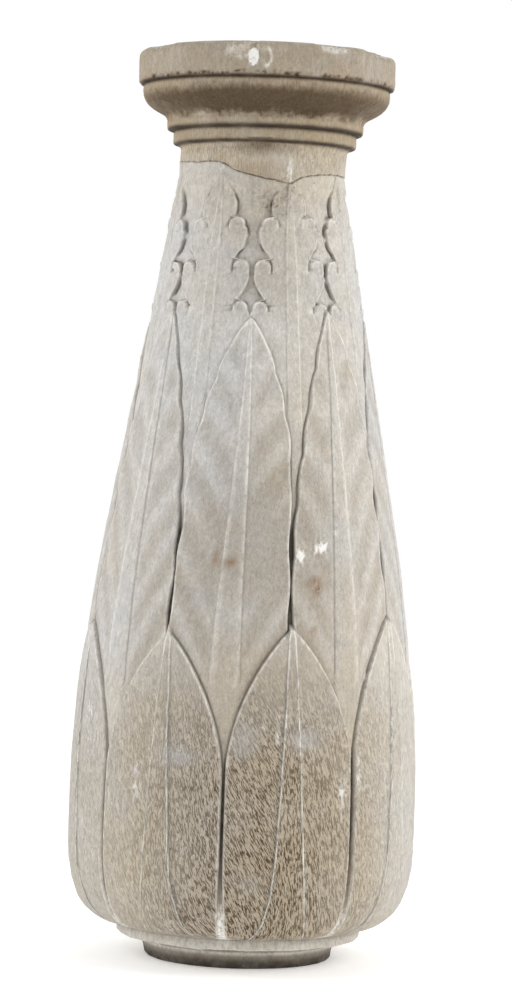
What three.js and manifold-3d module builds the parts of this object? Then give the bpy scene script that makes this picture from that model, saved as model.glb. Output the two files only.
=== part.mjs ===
// Stone basin pedestal: a tall pear-shaped shaft carved with three overlapping tiers of eight leaves,
// on a low round foot, and a turned head with two fillets, a roll and a round slab that carries the
// basin. The neck was once broken through, and the head sits back on the shaft along that break, so
// the pedestal is two stones. Millimetres, +Z up, the origin on the floor under the foot's centre,
// and -Y is the front.
import * as THREE from "three";
import { mergeVertices } from "three/addons/utils/BufferGeometryUtils.js";
import Module from "manifold-3d";

const wasm = await Module();
wasm.setup();

// Foot: a low drum that narrows to the floor
const FOOT_HEIGHT = 22;
const FOOT_TOP_RADIUS = 98.5;
const FOOT_FLOOR_RADIUS = 93.5;
const FOOT_ARRIS = 2.5;

// Ring: the plain fillet between the foot and the leaves
const RING_HEIGHT = 11;
const RING_RADIUS = 122;

// Shaft: from the ring it swells to the belly, then tapers to the neck
const SHAFT_START_RADIUS = 120;
const BELLY_HEIGHT = 92;
const BELLY_RADIUS = 174;
const TAPER_HEIGHT = 645;
const NECK_RADIUS = 83.3;
const NECK_HEIGHT = 38;
const NECK_FLARE = 6;

// Head: two fillets, a cyma with its roll, and the slab under the basin
const LOWER_FILLET_HEIGHT = 13.5;
const LOWER_FILLET_RADIUS = 91.6;
const UPPER_FILLET_HEIGHT = 9;
const UPPER_FILLET_RADIUS = 98;
const CYMA_HEIGHT = 36;
const ROLL_RADIUS = 123.9;
const SLAB_HEIGHT = 33.5;
const SLAB_RADIUS = 128;
const SLAB_ARRIS = 4.5;
// The head was cut a little off the shaft's centre line, towards +X
const HEAD_OFFSET = 2;

// Leaves: the tips as shares of the leafy height, from the ring up to the neck
const LEAVES_ROUND = 8;
const LOWER_LEAF_AXIS_DEG = 15.9;
const LOWER_TIP_SHARE = 0.412;
const LOWER_ARCH_SHARE = 0.217;
const MIDDLE_TIP_SHARE = 0.816;
const MIDDLE_ARCH_SHARE = 0.244;
const UPPER_TIP_SHARE = 1.014;
// The lobes down each side of an upper leaf. Each tops out at a share of the way from the middle
// tips to the upper ones. Its gaps to the next leaf, at its widest and in the notch above it, are
// shares of the half sector, and it turns in over its head from a share of its own height.
const LOBES = [
  { top: 0.12, gap: 0.02, notch: 0.34, turn: 0.5, roundness: 4 },
  { top: 0.4, gap: 0.06, notch: 0.42, turn: 0.5, roundness: 4 },
  { top: 0.685, gap: 0.165, notch: 0.58, turn: 0.5, roundness: 4 },
  { top: 1, gap: 0.5, notch: 0.95, turn: 0.3, roundness: 1.8 },
];
// The carving turns a little as it rises from the lower tips to the middle ones
const CARVING_TURN_DEG = 3;

// Carving depths, measured in from the shaft's outer surface
const FIELD_DEPTH = 2;
const TIER_DEPTH = 4;
const GROOVE_DEPTH = 7;
const RECESS_DEPTH = 6;
const GROOVE_HALF_WIDTH = 2.6;
const EDGE_WIDTH = 1.6;
// Midribs: how fast each widens down from its tip, and how the lower ones flare at the ring
const MIDDLE_RIB_SPREAD = 0.04;
const UPPER_RIB_SPREAD = 0.028;
const LOWER_RIB_FLARE = 7;
const LOWER_RIB_FLARE_HEIGHT = 20;

// Break: the crack's height above and below its mean, at angles from the front towards +X
const BREAK_ABOVE_TAPER = 8;
const BREAK_GAP = 0.3;
const BREAK_LINE = [
  [-90, 12.7], [-48, 8.6], [-30, 8], [-20, 0.5], [-13, -3], [4, -8], [20, -11.8],
  [27, -7.5], [38, -3.5], [52, 0.6], [90, 1.3], [150, 5], [220, 11], [270, 12.7],
];

// Facets
const SHAFT_COLUMNS_PER_HALF_LEAF = 6;
const HEAD_COLUMNS = 48;
const FACET_TOLERANCE = 0.05;

const SHAFT_COLOUR = 0xb9b1a4;
const HEAD_COLOUR = 0xa99d89;

// Heights above the floor
const ringBottom = FOOT_HEIGHT;
const ringTop = ringBottom + RING_HEIGHT;
const bellyMiddle = ringTop + BELLY_HEIGHT;
const taperTop = bellyMiddle + TAPER_HEIGHT;
const neckTop = taperTop + NECK_HEIGHT;
const lowerFilletTop = neckTop + LOWER_FILLET_HEIGHT;
const upperFilletTop = lowerFilletTop + UPPER_FILLET_HEIGHT;
const cymaTop = upperFilletTop + CYMA_HEIGHT;
const slabTop = cymaTop + SLAB_HEIGHT;
const leafyHeight = taperTop - ringTop;
const lowerTip = ringTop + LOWER_TIP_SHARE * leafyHeight;
const lowerArch = LOWER_ARCH_SHARE * leafyHeight;
const middleTip = ringTop + MIDDLE_TIP_SHARE * leafyHeight;
const middleArch = MIDDLE_ARCH_SHARE * leafyHeight;
const upperTip = ringTop + UPPER_TIP_SHARE * leafyHeight;
const breakHeight = taperTop + BREAK_ABOVE_TAPER;
const halfLeaf = Math.PI / LEAVES_ROUND;

const { lerp, smoothstep, clamp, degToRad } = THREE.MathUtils;

// The shaft's outer line, as one curve up to the belly and one from there to the neck
const underBelly = new THREE.CubicBezierCurve(
  new THREE.Vector2(SHAFT_START_RADIUS, ringTop),
  new THREE.Vector2(lerp(SHAFT_START_RADIUS, BELLY_RADIUS, 0.72), ringTop + 0.02 * BELLY_HEIGHT),
  new THREE.Vector2(BELLY_RADIUS, ringTop + 0.36 * BELLY_HEIGHT),
  new THREE.Vector2(BELLY_RADIUS, bellyMiddle),
);
const taper = new THREE.CubicBezierCurve(
  new THREE.Vector2(BELLY_RADIUS, bellyMiddle),
  new THREE.Vector2(BELLY_RADIUS, bellyMiddle + 0.293 * TAPER_HEIGHT),
  new THREE.Vector2(lerp(NECK_RADIUS, BELLY_RADIUS, 0.724), bellyMiddle + 0.413 * TAPER_HEIGHT),
  new THREE.Vector2(NECK_RADIUS + 1.5, taperTop),
);

// The radius of the shaft's outer line at a height
function shaftRadius(height) {
  if (height >= taperTop) {
    return lerp(NECK_RADIUS + 1.5, NECK_RADIUS, clamp((height - taperTop) / BREAK_ABOVE_TAPER, 0, 1));
  }
  const curve = height < bellyMiddle ? underBelly : taper;
  let low = 0;
  let high = 1;
  for (let step = 0; step < 30; step++) {
    const middle = (low + high) / 2;
    if (curve.getPoint(middle).y < height) low = middle;
    else high = middle;
  }
  return curve.getPoint(low).x;
}

// How much of its half sector a pointed leaf fills, from 0 at the tip to 1 where its arch springs
function archShare(height, tip, arch, fullness) {
  const down = clamp((tip - height) / arch, 0, 1);
  return Math.pow(1 - Math.pow(1 - down, 2.2), fullness);
}

// The gap from an upper leaf's lobed edge to the sector's side, as a share of the half sector
function lobedGap(height) {
  const up = clamp((height - middleTip) / (upperTip - middleTip), 0, 1);
  const index = LOBES.findIndex(({ top }) => up <= top);
  const lobe = LOBES[index];
  const below = LOBES[index - 1] ?? { top: 0, notch: lobe.gap };
  const along = (up - below.top) / (lobe.top - below.top);
  const overHead = Math.pow(clamp((along - lobe.turn) / (1 - lobe.turn), 0, 1), lobe.roundness);
  const underneath = (below.notch - lobe.gap) * (1 - smoothstep(along, 0, 0.6));
  return lobe.gap + underneath + (lobe.notch - lobe.gap) * overHead;
}

// How deep a tier's leaves lie at a height, as they go down behind the tips of the tier below
function sinkBehind(height, tip, arch) {
  return TIER_DEPTH * (1 - smoothstep(height, tip - arch, tip + 0.4 * arch));
}

// The seven carving lines of a half sector at a height, from the lower leaf's axis to the middle
// leaf's: each is how far round it lies, in mm, and how deep it is cut.
function carvingLines(height) {
  const width = halfLeaf * shaftRadius(height);
  const narrow = GROOVE_HALF_WIDTH + EDGE_WIDTH;
  const middleSink = sinkBehind(height, lowerTip, lowerArch);
  const upperSink = sinkBehind(height, middleTip, middleArch);
  if (height < lowerTip) {
    const edge = clamp(
      width * archShare(height, lowerTip, lowerArch, 0.88), narrow, width - GROOVE_HALF_WIDTH);
    const flare = LOWER_RIB_FLARE * Math.exp((ringTop - height) / LOWER_RIB_FLARE_HEIGHT);
    const rib = Math.min(Math.sqrt(lowerTip - height) + flare, 0.45 * edge);
    const open = smoothstep(width - edge, GROOVE_HALF_WIDTH, 4 * GROOVE_HALF_WIDTH);
    const middleRib = Math.min(MIDDLE_RIB_SPREAD * (middleTip - height), 0.6 * (width - edge));
    return [
      [0, 0],
      [rib, 0],
      [rib + EDGE_WIDTH, FIELD_DEPTH],
      [edge - EDGE_WIDTH, 0.5 * FIELD_DEPTH],
      [edge, lerp(GROOVE_DEPTH, middleSink + FIELD_DEPTH, open)],
      [width - middleRib, lerp(GROOVE_DEPTH, middleSink + 0.5 * FIELD_DEPTH, open)],
      [width, lerp(GROOVE_DEPTH, middleSink, open)],
    ];
  }
  if (height < middleTip) {
    const share = archShare(height, middleTip, middleArch, 0.75);
    const edge = clamp(width * (1 - share), GROOVE_HALF_WIDTH, width - narrow);
    const open = smoothstep(edge, GROOVE_HALF_WIDTH, 4 * GROOVE_HALF_WIDTH);
    const upperRib = Math.min(UPPER_RIB_SPREAD * (upperTip - height), 0.4 * edge);
    const middleRib = Math.min(MIDDLE_RIB_SPREAD * (middleTip - height), 0.4 * (width - edge));
    return [
      [0, lerp(GROOVE_DEPTH, upperSink, open)],
      [upperRib, lerp(GROOVE_DEPTH, upperSink, open)],
      [0.7 * edge, lerp(GROOVE_DEPTH, upperSink + 0.5 * FIELD_DEPTH, open)],
      [edge, lerp(GROOVE_DEPTH, upperSink + FIELD_DEPTH, open)],
      [edge + EDGE_WIDTH, middleSink + 0.3 * FIELD_DEPTH],
      [width - middleRib, middleSink + FIELD_DEPTH],
      [width, middleSink],
    ];
  }
  const fade = 1 - smoothstep(height, upperTip - 6, upperTip + 2);
  const edge = clamp(width * (1 - lobedGap(height)), 2 * EDGE_WIDTH, width - EDGE_WIDTH);
  const rib = Math.min(UPPER_RIB_SPREAD * Math.max(upperTip - height, 0) + 0.5, 0.3 * edge);
  const recess = upperSink + fade * RECESS_DEPTH * smoothstep(width - edge, 0.5, 5);
  return [
    [0, upperSink],
    [rib, upperSink],
    [rib + 0.3 * (edge - rib), upperSink + fade * 0.5 * FIELD_DEPTH],
    [edge - 0.5 * EDGE_WIDTH, upperSink],
    [edge + 0.5 * EDGE_WIDTH, recess],
    [lerp(edge, width, 0.6), recess],
    [width, upperSink + 0.85 * (recess - upperSink)],
  ];
}

// Heights between two features, crowded towards the second where crowding is over 1
function heightsBetween(from, to, count, crowding = 1) {
  const list = [];
  for (let i = 1; i <= count; i++) list.push(lerp(from, to, 1 - Math.pow(1 - i / count, crowding)));
  return list;
}

// The rows of the carved part, crowded where the leaves' outlines turn
function carvedHeights() {
  const bellyRows = [0.02, 0.08, 0.2, 0.42, 1].map((share) => lerp(ringTop, bellyMiddle, share));
  const lobeRows = LOBES.flatMap(({ top }, index) => {
    const start = lerp(middleTip, upperTip, LOBES[index - 1]?.top ?? 0);
    const end = lerp(middleTip, upperTip, top);
    return [0.06, 0.45, 0.82, 0.99].map((share) => lerp(start, end, share));
  });
  return [
    ...bellyRows,
    lowerTip - lowerArch,
    ...heightsBetween(lowerTip - lowerArch, lowerTip - 1, 6, 1.5),
    ...heightsBetween(lowerTip, middleTip - middleArch, 2, 0.6),
    ...heightsBetween(middleTip - middleArch, middleTip - 1, 6, 1.5),
    ...lobeRows,
    upperTip + 2,
  ];
}

// How far the carving has turned round the axis at a height
function turnAt(height) {
  return degToRad(CARVING_TURN_DEG) * smoothstep(height, lowerTip, middleTip);
}

// How far the centre line strays towards +X at a height
function strayAt(height) {
  return HEAD_OFFSET * smoothstep(height, breakHeight, lowerFilletTop);
}

// A closed mesh as a manifold solid, and back
function solidOf(geometry) {
  const bare = geometry.clone().deleteAttribute("normal").deleteAttribute("uv");
  const merged = mergeVertices(bare, 1e-4);
  return new wasm.Manifold(new wasm.Mesh({
    numProp: 3,
    vertProperties: new Float32Array(merged.attributes.position.array),
    triVerts: new Uint32Array(merged.index.array),
  }));
}

function geometryOf(solid) {
  const mesh = solid.getMesh();
  const geometry = new THREE.BufferGeometry();
  geometry.setAttribute("position", new THREE.BufferAttribute(new Float32Array(mesh.vertProperties), 3));
  geometry.setIndex(new THREE.BufferAttribute(new Uint32Array(mesh.triVerts), 1));
  geometry.computeVertexNormals();
  return geometry;
}

// Turns a profile of Vector2(radius, height) about Z. place(column, row) may move a vertex: it
// returns its angle, radius and height.
function turned(profile, columns, place) {
  const geometry = new THREE.LatheGeometry(profile, columns);
  const position = geometry.attributes.position;
  for (let column = 0; column <= columns; column++) {
    for (let row = 0; row < profile.length; row++) {
      const [angle, radius, height] = place(column % columns, row);
      position.setXYZ(
        column * profile.length + row,
        radius * Math.cos(angle) + (radius > 0 ? strayAt(height) : 0),
        radius * Math.sin(angle),
        height,
      );
    }
  }
  return geometry;
}

// The shaft before the neck is cut along the break
function shaftBlank() {
  const plainBelow = [
    new THREE.Vector2(0, 0),
    new THREE.Vector2(FOOT_FLOOR_RADIUS - FOOT_ARRIS, 0),
    new THREE.Vector2(FOOT_FLOOR_RADIUS, FOOT_ARRIS),
    new THREE.Vector2(FOOT_TOP_RADIUS, ringBottom),
    new THREE.Vector2(RING_RADIUS, ringBottom),
    new THREE.Vector2(RING_RADIUS, ringTop),
  ];
  const carved = carvedHeights().map((height) => new THREE.Vector2(shaftRadius(height), height));
  const plainAbove = [
    new THREE.Vector2(NECK_RADIUS, neckTop),
    new THREE.Vector2(0, neckTop),
  ];
  const profile = [...plainBelow, ...carved, ...plainAbove];
  const perHalf = SHAFT_COLUMNS_PER_HALF_LEAF;
  const columns = 2 * perHalf * LEAVES_ROUND;
  const firstAxis = degToRad(LOWER_LEAF_AXIS_DEG - 90);
  const lines = profile.map((point) => carvingLines(clamp(point.y, ringTop, upperTip + 2)));
  return turned(profile, columns, (column, row) => {
    const { x: radius, y: height } = profile[row];
    const leaf = Math.floor(column / (2 * perHalf));
    const within = column % (2 * perHalf);
    const mirrored = within > perHalf;
    const line = mirrored ? 2 * perHalf - within : within;
    const isCarved = row >= plainBelow.length && row < plainBelow.length + carved.length;
    const isNearLeaves = isCarved || height === ringTop;
    const [across, depth] = lines[row][line];
    const even = (line / perHalf) * halfLeaf;
    const turn = isNearLeaves ? across / shaftRadius(height) : even;
    const offset = mirrored ? 2 * halfLeaf - turn : turn;
    return [
      firstAxis + 2 * halfLeaf * leaf + offset + turnAt(height),
      radius - (isCarved ? depth : 0),
      height,
    ];
  });
}

// The head before the neck is cut along the break
function headBlank() {
  const path = new THREE.Path();
  const hollow = lerp(UPPER_FILLET_RADIUS, ROLL_RADIUS, 0.45);
  path.moveTo(NECK_RADIUS, taperTop - BREAK_ABOVE_TAPER);
  path.lineTo(NECK_RADIUS, neckTop - NECK_FLARE);
  path.quadraticCurveTo(NECK_RADIUS, neckTop, LOWER_FILLET_RADIUS, neckTop);
  path.lineTo(LOWER_FILLET_RADIUS, lowerFilletTop);
  path.lineTo(UPPER_FILLET_RADIUS, lowerFilletTop);
  path.lineTo(UPPER_FILLET_RADIUS, upperFilletTop);
  path.bezierCurveTo(
    UPPER_FILLET_RADIUS + 1, upperFilletTop + 0.2 * CYMA_HEIGHT,
    hollow, upperFilletTop + 0.3 * CYMA_HEIGHT,
    lerp(hollow, ROLL_RADIUS, 0.5), upperFilletTop + 0.42 * CYMA_HEIGHT);
  path.bezierCurveTo(
    ROLL_RADIUS - 2, upperFilletTop + 0.5 * CYMA_HEIGHT,
    ROLL_RADIUS + 1, cymaTop - 0.27 * CYMA_HEIGHT,
    ROLL_RADIUS - 2, cymaTop);
  path.lineTo(SLAB_RADIUS, cymaTop);
  path.lineTo(SLAB_RADIUS, slabTop - SLAB_ARRIS);
  path.lineTo(SLAB_RADIUS - SLAB_ARRIS, slabTop);
  const outline = path.getPoints(3);
  const profile = [
    new THREE.Vector2(0, outline[0].y),
    ...outline.filter((point, i) => !i || point.distanceTo(outline[i - 1]) > 1e-6),
    new THREE.Vector2(0, slabTop),
  ];
  return turned(profile, HEAD_COLUMNS, (column, row) => [
    (column / HEAD_COLUMNS) * 2 * Math.PI, profile[row].x, profile[row].y,
  ]);
}

// The break's height above the floor at an angle from the front, in degrees
function breakAt(degrees) {
  const wrapped = degrees < -90 ? degrees + 360 : degrees;
  const next = BREAK_LINE.findIndex(([angle]) => angle >= wrapped);
  const [toAngle, toRise] = BREAK_LINE[Math.max(next, 1)];
  const [fromAngle, fromRise] = BREAK_LINE[Math.max(next, 1) - 1];
  return breakHeight + lerp(fromRise, toRise, (wrapped - fromAngle) / (toAngle - fromAngle));
}

// Everything above the break, as a block wider than the head
function aboveBreak() {
  const columns = 72;
  const blockRadius = 2 * BELLY_RADIUS;
  const blockTop = 2 * slabTop;
  const radii = [0, 0.5 * NECK_RADIUS, NECK_RADIUS, blockRadius, blockRadius, 0];
  const profile = radii.map((radius, i) => new THREE.Vector2(radius, i < 4 ? breakHeight : blockTop));
  return turned(profile, columns, (column, row) => {
    const degrees = -90 + (360 * column) / columns;
    const share = Math.min(radii[row] / NECK_RADIUS, 1);
    const height = row < 4 ? lerp(breakHeight, breakAt(degrees), share) : blockTop;
    return [degToRad(degrees - 90), radii[row], height];
  });
}

function stone(name, solid, colour, roughness) {
  const mesh = new THREE.Mesh(
    geometryOf(solid),
    new THREE.MeshStandardMaterial({ color: colour, roughness, metalness: 0 }),
  );
  mesh.name = name;
  return mesh;
}

const upperSide = solidOf(aboveBreak());
const shaft = solidOf(shaftBlank()).subtract(upperSide).simplify(FACET_TOLERANCE);
const head = solidOf(headBlank())
  .intersect(upperSide.translate([0, 0, BREAK_GAP]))
  .simplify(FACET_TOLERANCE);

const pedestal = new THREE.Group();
pedestal.add(
  stone("carved_shaft", shaft, SHAFT_COLOUR, 0.9),
  stone("turned_head", head, HEAD_COLOUR, 0.9),
);

export default pedestal;
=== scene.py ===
"""Stone basin pedestal: dresses the two packed stones, the leaf-carved shaft and the turned head, as
weathered limestone with its carving, tool marks, mended break, chips and dirt.

Lengths inside the mesh functions are in millimetres. Angles are in degrees from the front (-Y),
growing towards +X, and heights are above the floor."""

import math
from functools import reduce

import bpy
import numpy as np
from bpy.props import FloatProperty, FloatVectorProperty, PointerProperty
from bpy.types import Operator, Panel, PropertyGroup
from mathutils import Euler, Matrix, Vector, noise


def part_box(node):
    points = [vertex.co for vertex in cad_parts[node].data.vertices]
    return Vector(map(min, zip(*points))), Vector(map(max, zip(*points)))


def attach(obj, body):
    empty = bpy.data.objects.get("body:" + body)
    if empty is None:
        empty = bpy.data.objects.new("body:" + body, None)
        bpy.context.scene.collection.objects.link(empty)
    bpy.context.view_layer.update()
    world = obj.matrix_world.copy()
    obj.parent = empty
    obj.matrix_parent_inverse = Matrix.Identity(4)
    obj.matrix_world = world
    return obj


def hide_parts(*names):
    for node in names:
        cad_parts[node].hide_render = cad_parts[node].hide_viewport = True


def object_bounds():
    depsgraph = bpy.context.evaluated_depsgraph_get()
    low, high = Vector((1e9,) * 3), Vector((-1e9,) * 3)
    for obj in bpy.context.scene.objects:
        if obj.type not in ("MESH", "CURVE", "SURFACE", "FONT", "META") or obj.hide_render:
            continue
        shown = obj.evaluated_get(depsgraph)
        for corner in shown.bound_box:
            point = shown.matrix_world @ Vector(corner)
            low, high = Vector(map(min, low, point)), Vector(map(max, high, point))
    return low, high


bl_info = {
    "name": "Stone Basin Pedestal",
    "version": (1, 0, 0),
    "blender": (4, 5, 0),
    "location": "View3D > Sidebar > Pedestal",
    "description": "Builds a weathered stone pedestal carved with three tiers of leaves",
    "category": "Add Mesh",
}

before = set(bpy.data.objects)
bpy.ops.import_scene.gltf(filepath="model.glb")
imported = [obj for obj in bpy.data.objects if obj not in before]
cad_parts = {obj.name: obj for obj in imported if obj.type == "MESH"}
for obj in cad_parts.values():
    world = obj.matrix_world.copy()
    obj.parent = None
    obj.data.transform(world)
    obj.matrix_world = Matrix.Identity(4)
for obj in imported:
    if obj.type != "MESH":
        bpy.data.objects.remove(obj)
CAD_BOX = [list(corner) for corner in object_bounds()]
SHAFT_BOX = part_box("carved_shaft")
HEAD_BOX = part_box("turned_head")

MM = 0.001
TOTAL_HEIGHT = CAD_BOX[1][2] / MM
SLAB_RADIUS = (HEAD_BOX[1].x - HEAD_BOX[0].x) / 2 / MM
HEAD_OFFSET = (HEAD_BOX[1].x + HEAD_BOX[0].x) / 2 / MM

# Foot and ring
FOOT_TOP_RADIUS = 98.5
FOOT_FLOOR_RADIUS = 93.5
RING_BOTTOM = 22.0
RING_TOP = 33.0
RING_RADIUS = 122.0
# Their outline from the underside up: radius and height
BASE_OUTLINE = (
    (40, 0), (70, 0), (90.4, 0), (92.2, 0.4), (FOOT_FLOOR_RADIUS, 2), (94.4, 7), (95.8, 12), (97, 15.4),
    (98, 17.6), (FOOT_TOP_RADIUS, 19.6), (98.2, 21.2), (97.4, RING_BOTTOM), (108, RING_BOTTOM),
    (118.6, RING_BOTTOM), (120.6, 22.5), (RING_RADIUS - 0.3, 24), (RING_RADIUS, 27.5),
    (RING_RADIUS - 0.2, 31), (RING_RADIUS - 1, 32.4), (120.4, RING_TOP),
)

# Shaft's outer line: radius and height of the control points of its two curves
UNDER_BELLY = ((120.0, 33.0), (158.9, 34.8), (174.0, 66.1), (174.0, 125.0))
TAPER = ((174.0, 125.0), (174.0, 314.0), (149.0, 391.4), (84.8, 770.0))
NECK_RADIUS = 83.3
NECK_START = 778.0

# Leaves: eight to a tier
LEAF_COUNT = 8
LEAF_PITCH = 360.0 / LEAF_COUNT
LOWER_AXIS = 15.9
MIDDLE_AXIS = -6.6
LOWER_TIP = 337.0
LOWER_ARCH = 160.0
MIDDLE_TIP = 634.0
MIDDLE_ARCH = 180.0
UPPER_TIP = 780.0
# How full a leaf's arch is towards its tip. The middle leaves beside the front one are slimmer on
# its side.
LOWER_FULLNESS = 0.88
MIDDLE_FULLNESS = 0.75
SLIM_ARCH = 300.0
SLIM_FULLNESS = 0.85
# Each leaf's own wander from the even spacing, from the front one round towards +X
LOWER_TIP_RISE = (0, 11, 4, -3, 3, 6, -2, -7)
MIDDLE_TIP_RISE = (0, 10, 3, -4, 2, 5, -3, 7)
LOWER_TURN = (0, 0, 0.6, -0.5, 0.4, -0.7, 0.3, 1.1)
MIDDLE_BASE_TURN = (-0.5, -1.3, 0.5, 0.3, -0.6, 0.4, 0, 0.4)
MIDDLE_TIP_TURN = (3.5, 1.6, 1.2, -0.8, 0.9, -1.2, 0.4, 0.8)
UPPER_TURN = (3.1, 3.0, 1.0, 0.2, -0.9, 0.6, 1.0, 2.0)

# The lobed sides of the upper leaves: the half gap to the next leaf, in degrees, at heights. One row
# for each lobe, from the eye under it to its head.
LOBE_LINE = (
    (560, -3), (634, -0.2), (641, 0.8),
    (641, 10.8), (645, 10.2), (652.5, 7.3), (659, 4.7), (666, 2.6), (672, 1.4), (680, 1.4),
    (680, 12.2), (687, 12), (690, 11.2), (697.5, 8.5), (702, 6), (706, 5), (717, 3.5), (723, 4.4),
    (723, 14.6), (732, 13.5), (735, 12), (741, 11.4), (747.5, 11.6), (755, 13.8), (767, 18.5),
    (780, 24.5),
)
# The rounded heads of the lobes: gap angle and height of the centre, half width and half height
LOBE_HEADS = ((5.3, 642.2, 7.4, 8.6), (6.3, 682.4, 8.4, 8.6), (10.3, 724.8, 8.0, 8.2))
# How far the lobes reach from the middle of the gap, with the crease round their heads
LOBE_DEPTH = ((600, 19), (643, 20), (685, 22.5), (726, 26.5), (760, 26))
# Bridges where the heads meet across a gap: heights
BRIDGES = (653, 674, 692, 714, 732)
# The eyes where a lobe's head curls against the next lobe: gap angle, height and radius
LOBE_EYES = ((10.3, 646.0, 1.6), (10.4, 682.5, 2.3), (13.6, 731.5, 1.6))
# Small nicks in the lobes' sides: gap angle and height of both ends
LOBE_NICKS = (((3.6, 720), (9.6, 718)), ((13.6, 756), (19, 751.5)), ((1.4, 676), (6.5, 673.5)))
# Heights between which each leaf's own shift of its lobes sets in
LOBE_SHIFT_FROM, LOBE_SHIFT_FULL = 640.0, 700.0
# Depth of the grooves between the middle leaves, and of the recess between the upper ones at heights
MIDDLE_GROOVE_DEPTH = 5.5
RECESS_FLOOR = (
    (600, 2), (640, 3.5), (650, 4.4), (674, 5.2), (688, 4.6), (697, 3.2), (706, 4.2), (720, 4.8),
    (744, 4.6), (754, 3.6), (761, 2.4), (763.5, 1.1), (790, 0.8),
)
# Half width of the upper leaves' ribs at heights
UPPER_RIB = ((480, 8.5), (560, 7), (620, 5.8), (690, 5), (725, 3.9), (745, 2.3), (765, 1), (780, 0.3))

# Half widths of the grooves between the leaves at heights
LOWER_GROOVE = ((45, 3.2), (66, 2.6), (112, 1.5), (230, 1.3))
# The three grooves that are wider, by the lower leaf and its side
WIDE_GROOVES = {(0, 1): 1.7, (1, -1): 0.6, (LEAF_COUNT - 1, -1): 0.6}
MIDDLE_GROOVE = ((330, 1.6), (450, 1.6), (500, 1.2), (640, 1.0))
# Veins of the middle leaves end in the cusps of the scalloped edge: distance below the tip, and number
CUSPS = (
    (-20, -1), (20, 0), (57, 1), (95, 2), (140, 3), (188, 4), (238, 5), (290, 6), (345, 7), (400, 8),
    (600, 12),
)

# The mended break: its height at angles from the front
BREAK_LINE = ((-90, 790.5), (-60, 788), (-50, 786.6), (-41, 787.6), (-31, 787), (-26, 784.4), (-20, 779.4),
              (-14, 776.3), (-6, 773.8), (1.5, 771), (9, 769.4), (17, 766.6), (21.5, 767.3), (26, 772),
              (32, 774.8), (40, 776.9), (55, 779), (90, 779.3), (150, 783), (220, 789), (270, 790.5))
BREAK_MIDDLE = 778.0
BREAK_GAP = 0.3

# Head: radius and height along its outline
HEAD_OUTLINE = (
    (83.3, 802.0), (84.0, 804.6), (86.2, 806.6), (89.6, 807.7), (90.9, 808.2), (91.6, 809.4), (91.7, 815),
    (91.6, 820.0), (91.3, 821.3), (94.0, 821.7), (97.2, 822.0), (98.2, 823.2), (98.6, 827), (98.5, 829.6),
    (98.2, 830.8), (98.6, 832.2), (99.6, 834.4), (101.6, 836.6), (105.0, 838.8), (109.3, 841.1),
    (113.2, 843.4), (116.6, 845.9), (119.4, 848.6), (121.6, 851.8), (123.1, 855.6), (123.7, 860),
    (123.3, 864.6), (122.6, 866.3), (125.3, 866.7), (127.0, 867.3), (127.8, 868.8), (128.0, 874),
    (128.0, 890), (127.7, 894.6), (126.2, 897.6), (123.4, 899.4), (119.5, 900.0),
)

# Marks on the stone: angle and height, half width in degrees and half height in mm, then the strength
# where it isn't 1 and how soft the edge is where it isn't as usual
# Slots between the lobes that are painted darker: painted shade with dirt in the deep recess
FRONT_SLOTS = (
    (-15.5, 747, 2.5, 14), (-8, 724, 2.5, 9), (-4.8, 707, 1.5, 6), (-12, 697, 3, 6), (4, 657, 5, 15),
    (1.2, 702, 2.2, 5), (-1.6, 683, 1, 6), (6.6, 747, 1.6, 9), (-9, 648, 4, 3),
)
SPALLS = ((9, 750, 14, 15, 1, 0.7), (-8, 712, 9, 22, 0.25, 0.6))
RUBBED = ((0, 230, 4, 17), (20, 232, 5, 9), (-21, 212, 6, 8), (3, 88, 6, 7))
LIME_SPOTS = (
    (19.4, 406, 1.6, 6, 1.8), (28.3, 415, 2.2, 6, 1.8), (35, 428, 0.8, 3, 1.8), (33.8, 180, 1.6, 15, 0.8),
    (40.6, 203, 0.8, 16, 0.8), (-36.3, 196, 1.5, 5, 0.8), (-36.2, 180, 1.6, 4, 0.8),
    (11.6, 225, 0.7, 22, 0.8), (-3.6, 150, 0.8, 3, 0.8), (46, 292, 1.2, 3, 0.8), (6.5, 246, 1.4, 2.5, 0.8),
    (-14, 197, 1.2, 3, 0.8), (48.5, 355, 1, 4, 0.8), (-64, 245, 2.2, 8, 0.8),
)
RUST_SPOTS = (
    (24.5, 382, 1.7, 6, 1.4), (26.5, 375, 1.5, 5, 1.4), (-7, 401, 2.6, 3, 1.5), (-12.5, 402, 1.4, 8, 0.8),
    (24, 333, 0.8, 6, 1.4),
)
HEAD_LIME = (
    (-6.2, 884, 2.2, 8.5, 1.7, 0.4), (-12, 889, 6, 6, 0.2, 0.5), (30.5, 897, 6.5, 4, 0.4, 0.6),
    (19.5, 778, 2.2, 10, 0.8, 0.7),
)
HEAD_SCUFFS = ((-12, 889, 6, 7, 0.4, 0.4), (30.5, 896, 7, 5, 0.6, 0.4))

# Chips in the head: angle and height, half width in degrees and half height in mm, and depth in mm
CHIP_SOFTNESS = 0.45
HEAD_CHIPS = (
    (-6.2, 888, 2.6, 12, 2.6), (-13, 891, 6, 7, 1.2), (-0.8, 885, 2.3, 8, 0.9), (31, 900, 7.5, 5, 2.0),
    (66, 899, 13, 6, 3.0), (-52, 868, 3.5, 4, 2.6), (-44, 868, 2.5, 3, 2.2), (-58, 899, 9, 5, 1.8),
    (12, 868, 4, 3, 2.0), (40, 884, 2, 3, 0.8), (130, 899, 8, 7, 3.2), (-120, 868, 7, 5, 2.8),
    (-150, 899, 5, 5, 2.4), (100, 867, 4, 4, 2),
)

# The head's mesh: columns round it, rows up the neck and even steps along its outline
HEAD_COLUMNS = 560
NECK_ROWS = 12
OUTLINE_STEPS = 96
# How far the broken stones' closing faces run in, as shares of the neck's radius
BREAK_SHARES = (0.985, 0.9, 0.6, 0.3)
BED_SHARES = (0.99, 0.95, 0.8, 0.5, 0.2)

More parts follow.
